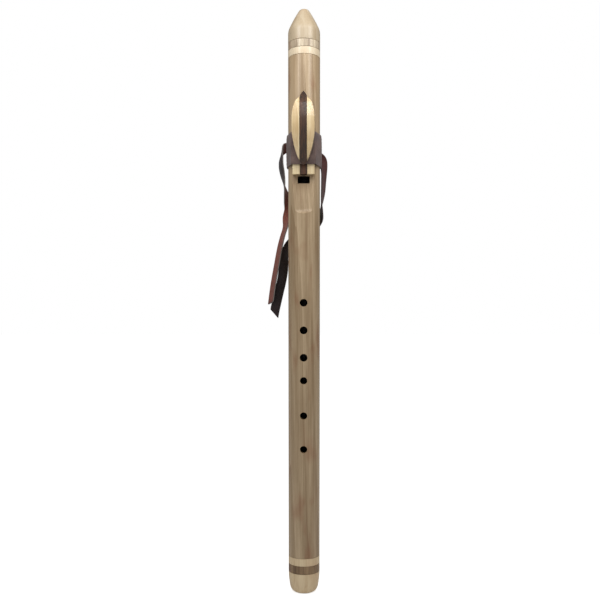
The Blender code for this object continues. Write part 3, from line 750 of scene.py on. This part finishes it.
def hide(name, grain, flesh, edge):
    """Leather with a dark grain side, a napped flesh side and a paler cut edge.

    The piece's own side attribute runs from 0 on the grain side to 1 on the flesh side.
    """
    finish, tree, shader, _, pebble = new_finish(name, HIDE_GRAIN)
    blotch, crease, height = (pebble.outputs[label] for label in ("Blotch", "Crease", "Height"))
    attribute = node(tree, "ShaderNodeAttribute", {}, attribute_name="side", attribute_type="GEOMETRY")
    side = attribute.outputs["Fac"]
    flesh_share = ranged(tree, side, *FLESH_SPAN)
    cut_share = product(tree, ranged(tree, side, *CUT_OUTER_SPAN), ranged(tree, side, *CUT_INNER_SPAN))
    grain_colour = mixed(tree, blotch, deeper(grain, GRAIN_DEEP), grain)
    flesh_colour = mixed(tree, crease, deeper(flesh, FLESH_DEEP), flesh)
    faces = mixed(tree, flesh_share, grain_colour, flesh_colour)
    feed(tree, shader["Base Color"], mixed(tree, cut_share, faces, edge))
    rough = sums(tree, "ADD", product(tree, flesh_share, FLESH_ROUGHNESS), HIDE_ROUGHNESS)
    feed(tree, shader["Roughness"], sums(tree, "ADD", rough, product(tree, blotch, BLOTCH_POLISH)))
    feed(tree, shader["Normal"], bumped(tree, height, *HIDE_BUMP))
    shader["Sheen Weight"].default_value = HIDE_SHEEN
    return finish


# Turned pieces


def mouth_cap():
    """The pointed cap: a straight collar, a rounded shoulder, a nearly straight flank and the tip.

    Shoulder, flank and tip are each a curve with one control point, and inside are the blow hole
    and the flare that widens it to the bore.
    """
    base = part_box("mouth_cap")[0].z
    collar_top = MOUTH_JOINT + CAP_COLLAR
    tip_base = MOUTH_TIP - CAP_TIP_LENGTH
    rim = BLOW_HOLE_RADIUS + BLOW_HOLE_RIM
    shoulder = (CAP_SHOULDER_RADIUS, collar_top + CAP_SHOULDER_LENGTH)
    corner = (MOUTH_RADIUS, collar_top + CAP_SHOULDER_CORNER * CAP_SHOULDER_LENGTH)
    flank = ((CAP_SHOULDER_RADIUS + CAP_TIP_RADIUS) / 2 + 2 * CAP_BULGE, (shoulder[1] + tip_base) / 2)
    near_rim, near_tip = CAP_TIP_CORNER
    tip_corner = (rim + near_rim * (CAP_TIP_RADIUS - rim), MOUTH_TIP - near_tip * CAP_TIP_LENGTH)
    hole_bottom = MOUTH_TIP - BLOW_HOLE_LENGTH
    outline = np.vstack([
        [(MOUTH_RADIUS, base), (MOUTH_RADIUS, collar_top - CAP_COLLAR / 2)],
        curve((MOUTH_RADIUS, collar_top), corner, shoulder, CAP_STEPS),
        curve(shoulder, flank, (CAP_TIP_RADIUS, tip_base), CAP_STEPS)[1:],
        curve((CAP_TIP_RADIUS, tip_base), tip_corner, (rim, MOUTH_TIP), CAP_STEPS)[1:],
        [(BLOW_HOLE_RADIUS, MOUTH_TIP), (BLOW_HOLE_RADIUS, hole_bottom)],
        [(BORE_RADIUS, hole_bottom - BLOW_HOLE_FLARE), (BORE_RADIUS, base)],
    ])
    return turned("mouth_cap_turned", eased(outline, EDGE_ROUND))


def end_ring(name):
    """A flat ring between two glue lines, with eased edges."""
    low, high = (corner.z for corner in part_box(name))
    outside = [(outer_radius(low), low), (outer_radius(high), high)]
    inside = [(BORE_RADIUS, high), (BORE_RADIUS, low)]
    return turned(f"{name}_turned", eased(outside + inside, RING_EDGE_ROUND))


def foot_cap():
    """The foot: its flank draws in, rounds under to a flat ring and opens to the bore."""
    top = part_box("foot_cap")[1].z
    shoulder = (FOOT_SHOULDER_RADIUS, FOOT_SHOULDER_HEIGHT)
    flank = (FOOT_RADIUS - FOOT_FLANK_DRAW, (top + FOOT_SHOULDER_HEIGHT) / 2)
    outline = np.vstack([
        curve((outer_radius(top), top), flank, shoulder, FOOT_STEPS),
        curve(shoulder, FOOT_CORNER, (FOOT_FACE_RADIUS, 0.0), FOOT_STEPS)[1:],
        [(FOOT_HOLE_RADIUS, 0.0), (FOOT_HOLE_RADIUS, FOOT_HOLE_LENGTH)],
        [(BORE_RADIUS, FOOT_HOLE_LENGTH + FOOT_FLARE_LENGTH), (BORE_RADIUS, top)],
    ])
    return turned("foot_cap_turned", eased(outline, EDGE_ROUND))


# Leather


def wrap_loop(offset):
    """The wrap's way round the tube and the block's base, moved out by an offset.

    It is a straight run over the base, a short arc at each of its corners, a straight run to the
    tube and the tube's own arc behind: rows of the angle and the x and y places.
    """
    radius = outer_radius((WRAP_LOW.z + WRAP_HIGH.z) / 2)
    base_face = -WRAP_LOW.y - LEATHER - GLUE_GAP
    reach = math.hypot(BASE_HALF_WIDTH, base_face)
    lean = math.atan2(BASE_HALF_WIDTH, base_face) + math.acos(min(1.0, radius / reach))
    flat = np.linspace(0, WRAP_FLAT_SHARE * BASE_HALF_WIDTH, WRAP_FLAT_STEPS)
    corner = np.linspace(0, lean, WRAP_CORNER_STEPS)
    arc = np.linspace(lean, WRAP_END, WRAP_ARC_STEPS)[1:]
    runs = (
        (0 * flat, flat, 0 * flat + base_face + offset),
        (corner, BASE_HALF_WIDTH + offset * np.sin(corner), base_face + offset * np.cos(corner)),
        (arc, (radius + offset) * np.sin(arc), (radius + offset) * np.cos(arc)),
    )
    right = np.vstack([np.stack(run, axis=1) for run in runs])
    left = right[:0:-1] * [-1, -1, 1]
    return np.vstack([left, right]) * [1, 1, -1]


def leather_wrap():
    """The broad wrap, with shallow creases that fan out of the knot and a slight roll at its edges.

    With u from 0 to 1 on the way to the knot, the height is H + u^1.5 (H end - H). With s from -1
    to 1 across and the angle a, the grain side is pushed out by the creases, which are
    sin(9 pi s + 2.2 sin 3a), and the wander, sin(5a + 3s), and drawn in by |s|^10 at the edges.
    """
    inner_loop, outer_loop = wrap_loop(GLUE_GAP), wrap_loop(GLUE_GAP + LEATHER)
    middle = (WRAP_LOW.z + WRAP_HIGH.z) / 2
    full = WRAP_HIGH.z - WRAP_LOW.z
    across = np.sin(np.linspace(-math.pi / 2, math.pi / 2, WRAP_COLUMNS))[None, :]
    share = np.clip((np.abs(inner_loop[:, 0]) - WRAP_NARROWING) / (WRAP_END - WRAP_NARROWING), 0, 1)
    height = full + share**1.5 * (WRAP_END_HEIGHT - full)
    z = middle + height[:, None] / 2 * across
    angle = np.abs(inner_loop[:, :1])
    behind = np.clip((angle - CREASE_START) / CREASE_RISE, 0, 1)
    crease = CREASE_DEPTH * behind * np.sin(9 * math.pi * across + 2.2 * np.sin(3 * angle))
    wander = WANDER_DEPTH * np.sin(5 * angle + 3 * across)
    push = 1 + (crease + wander - WRAP_ROLL * np.abs(across) ** 10) / LEATHER
    inner = np.stack([np.broadcast_to(inner_loop[:, k : k + 1], z.shape) for k in (1, 2)], axis=2)
    outer = np.stack([np.broadcast_to(outer_loop[:, k : k + 1], z.shape) for k in (1, 2)], axis=2)
    outer = inner + (outer - inner) * push[:, :, None]
    skins = [np.concatenate([skin, z[:, :, None]], axis=2) for skin in (inner, outer)]
    return surface("leather_wrap_skin", *sleeve_parts(*skins))


def strap_around(path, width):
    """A strap whose path lies near the YZ plane and whose width runs along X.

    Its face looks along the tangent turned a quarter about X, outwards at the path's middle.
    """
    line = smooth_line(path, KNOT_LOOP_STEPS)
    tangent = np.gradient(line, axis=0)
    tangent /= np.linalg.norm(tangent, axis=1)[:, None]
    across = np.array([1.0, 0.0, 0.0])
    face = np.cross(tangent, across)
    face /= np.linalg.norm(face, axis=1)[:, None]
    if face[len(face) // 2, 1] < 0:
        face = -face
    place = strap_places()
    middle = line[:, None] + across * place * width / 2 + face[:, None] * KNOT_LOOP_CUP * (1 - place**2)
    half = strap_half(place)
    return sleeve_parts(middle - face[:, None] * half, middle + face[:, None] * half)


def tie_knot():
    """The knot behind: two straps that cross, and a third passed round their crossing.

    At the angle a the third strap's path is sway sin a along X, reach cos(a / slowness) out and
    rise sin a up.
    """
    seat = outer_radius(KNOT_HIGH.z) + 2 * LEATHER
    middle = (KNOT_LOW.z + KNOT_HIGH.z) / 2
    under, over = (
        [(x, seat + y, middle + z, facing) for x, y, z, facing in rows] for rows in (KNOT_UNDER, KNOT_OVER)
    )
    over[len(over) // 2] = (0.0, KNOT_HIGH.y - KNOT_OVER_SETBACK, middle, 180)
    reach = KNOT_HIGH.y - seat - KNOT_LOOP_INSET
    loop = [
        (
            KNOT_LOOP_SWAY * math.sin(a),
            seat - KNOT_LOOP_SINK + reach * math.cos(a / KNOT_LOOP_SLOWNESS),
            middle + KNOT_LOOP_RISE * math.sin(a),
        )
        for a in np.linspace(-0.5, 0.5, KNOT_LOOP_POINTS) * KNOT_LOOP_ANGLE
    ]
    parts = [
        strap_parts(under, KNOT_STRAP_WIDTH, KNOT_STRAP_STEPS, KNOT_UNDER_CUP),
        strap_parts(over, KNOT_STRAP_WIDTH, KNOT_STRAP_STEPS, KNOT_OVER_CUP),
        strap_around(loop, KNOT_LOOP_WIDTH),
    ]
    return joined("tie_knot_straps", parts)


# The scene


def light_scene():
    """A surround that is seen white but lights softly, and three soft boxes in front and above."""
    world = bpy.data.worlds.new("studio")
    scene.world = world
    world.use_nodes = True
    tree = world.node_tree
    ground = tree.nodes["Background"]
    rays = tree.nodes.new("ShaderNodeLightPath").outputs
    dimmed = ranged(tree, rays["Is Glossy Ray"], 0.0, 1.0, SURROUND_LIGHT, SURROUND_GLOSS)
    ground.inputs["Color"].default_value = WHITE
    feed(tree, ground.inputs["Strength"], sums(tree, "MAXIMUM", rays["Is Camera Ray"], dimmed))
    for name, azimuth, energy in LAMPS:
        lamp = bpy.data.lights.new(name, "AREA")
        lamp.shape = "RECTANGLE"
        lamp.size, lamp.size_y = LAMP_SIZE
        lamp.energy = energy
        box = bpy.data.objects.new(name, lamp)
        angle = math.radians(azimuth)
        box.location = (LAMP_DISTANCE * math.sin(angle), -LAMP_DISTANCE * math.cos(angle), LAMP_HEIGHT)
        box.rotation_euler = (LAMP_TILT, 0.0, angle)
        scene.collection.objects.link(box)


def floor():
    """A plain pale floor, seen as white and still taking the flute's shadow."""
    mesh = bpy.data.meshes.new("floor")
    corners = [(x * FLOOR_REACH, y * FLOOR_REACH, 0) for x, y in ((-1, -1), (1, -1), (1, 1), (-1, 1))]
    mesh.from_pydata(corners, [], [(0, 1, 2, 3)])
    pale = bpy.data.materials.new("pale_floor")
    pale.use_nodes = True
    tree = pale.node_tree
    shader = tree.nodes["Principled BSDF"].inputs
    shader["Base Color"].default_value = FLOOR_PALE
    shader["Roughness"].default_value = FLOOR_ROUGHNESS
    shader["Specular IOR Level"].default_value = 0.0
    seen = tree.nodes.new("ShaderNodeLightPath").outputs["Is Camera Ray"]
    shader["Emission Color"].default_value = WHITE
    feed(tree, shader["Emission Strength"], product(tree, seen, FLOOR_GLOW))
    mesh.materials.append(pale)
    thing = bpy.data.objects.new("floor", mesh)
    scene.collection.objects.link(thing)


place_camera()
light_scene()
floor()

BODY_WALNUT = wood(
    "body_walnut", tone(198, 174, 140), tone(134, 106, 72), tone(144, 92, 60), bands=42.0, band=0.34,
    streak=0.30, warm_share=0.45, pores=0.25, roughness=0.40, coat=0.25, painted_bore_shade=True,
)
RING_WALNUT_TOP = wood(
    "ring_walnut_mouth", tone(228, 212, 184), tone(118, 92, 66), tone(160, 110, 82), bands=90.0, band=0.26,
    streak=0.34, warm_share=0.7, pores=0.45, offset=0.31, coat=0.2,
)
RING_WALNUT_FOOT = wood(
    "ring_walnut_foot", tone(168, 138, 102), tone(108, 82, 56), tone(150, 92, 66), bands=90.0, band=0.35,
    streak=0.45, warm_share=0.6, pores=0.4, offset=0.57, coat=0.12,
)
CAP_MAPLE = wood(
    "cap_maple", tone(194, 178, 152), tone(170, 149, 118), tone(188, 152, 119), bands=48.0, band=0.40,
    streak=0.30, warm_share=0.45, pores=0.06, offset=0.12, coat=0.15, roughness=0.36,
)
RING_MAPLE = wood(
    "ring_maple", tone(226, 211, 184), tone(204, 179, 144), tone(212, 175, 136), bands=60.0, band=0.28,
    streak=0.25, warm_share=0.2, pores=0.05, offset=0.43, coat=0.15,
)
FOOT_MAPLE = wood(
    "foot_maple", tone(236, 214, 176), tone(206, 178, 138), tone(204, 158, 120), bands=48.0, band=0.35,
    streak=0.30, warm_share=0.35, pores=0.10, offset=0.77, coat=0.12,
)
# The block's two woods carry a painted shade on their lower slope
BLOCK_MAPLE = wood(
    "block_maple", tone(246, 228, 186), tone(200, 168, 118), tone(212, 168, 114), bands=65.0, band=0.40,
    streak=0.34, warm_share=0.25, pores=0.06, offset=0.21, coat=0.8, coat_roughness=0.16,
    roughness=0.42, painted_slope_shade=0.36,
)
BLOCK_WALNUT = wood(
    "block_walnut", tone(98, 60, 32), tone(38, 20, 9), tone(88, 42, 18), bands=100.0, band=0.4,
    streak=0.45, warm_share=0.4, pores=0.5, offset=0.66, coat=0.4, coat_roughness=0.14,
    roughness=0.45, painted_slope_shade=0.30,
)
WRAP_HIDE = hide("wrap_hide", tone(116, 94, 88), tone(104, 60, 50), tone(98, 78, 72))
KNOT_HIDE = hide("knot_hide", tone(70, 48, 46), tone(104, 56, 44), tone(84, 66, 60))
LEFT_TAIL_HIDE = hide("left_tail_hide", tone(52, 36, 36), tone(136, 74, 58), tone(128, 120, 114))
# The right tail is the same leather as the left, with darker flesh side and cut edge as painted shade
RIGHT_TAIL_SHADED_HIDE = hide("right_tail_painted_shade_hide", tone(50, 34, 34), tone(78, 32, 26), tone(70, 46, 42))

dress(mouth_cap(), CAP_MAPLE, "flute", "mouth_cap")
dress(end_ring("mouth_dark_ring"), RING_WALNUT_TOP, "flute", "mouth_dark_ring")
dress(end_ring("mouth_light_ring"), RING_MAPLE, "flute", "mouth_light_ring")
dress(end_ring("foot_light_ring"), FOOT_MAPLE, "flute", "foot_light_ring")
dress(end_ring("foot_dark_ring"), RING_WALNUT_FOOT, "flute", "foot_dark_ring")
dress(foot_cap(), FOOT_MAPLE, "flute", "foot_cap")
for shell in ("front_shell", "back_shell"):
    dress(half_shell(shell), BODY_WALNUT, "flute", shell)
dress(eased_copy("block_core", CORE_EDGE), BLOCK_WALNUT, "block", "block_core")
for cheek in ("block_left_cheek", "block_right_cheek"):
    dress(eased_copy(cheek, CHEEK_EDGE), BLOCK_MAPLE, "block", cheek)
# The plug lies in the bore, so the body's painted bore shade paints it nearly black
paint(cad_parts["chamber_plug"], BODY_WALNUT)
dress(leather_wrap(), WRAP_HIDE, "flute", "leather_wrap")
dress(tie_knot(), KNOT_HIDE, "flute", "tie_knot")
for tail, route, length, cut, skin in (
    ("tie_left_tail", LEFT_TAIL_ROUTE, LEFT_TAIL_LENGTH, LEFT_TAIL_CUT, LEFT_TAIL_HIDE),
    ("tie_right_tail", RIGHT_TAIL_ROUTE, RIGHT_TAIL_LENGTH, RIGHT_TAIL_CUT, RIGHT_TAIL_SHADED_HIDE),
):
    strap = surface(f"{tail}_strap", *strap_parts(route, TAIL_WIDTH, TAIL_STEPS, TAIL_CUP, cut))
    dress(strap, skin, "flute", tail)

scene.view_settings.view_transform = "Standard"
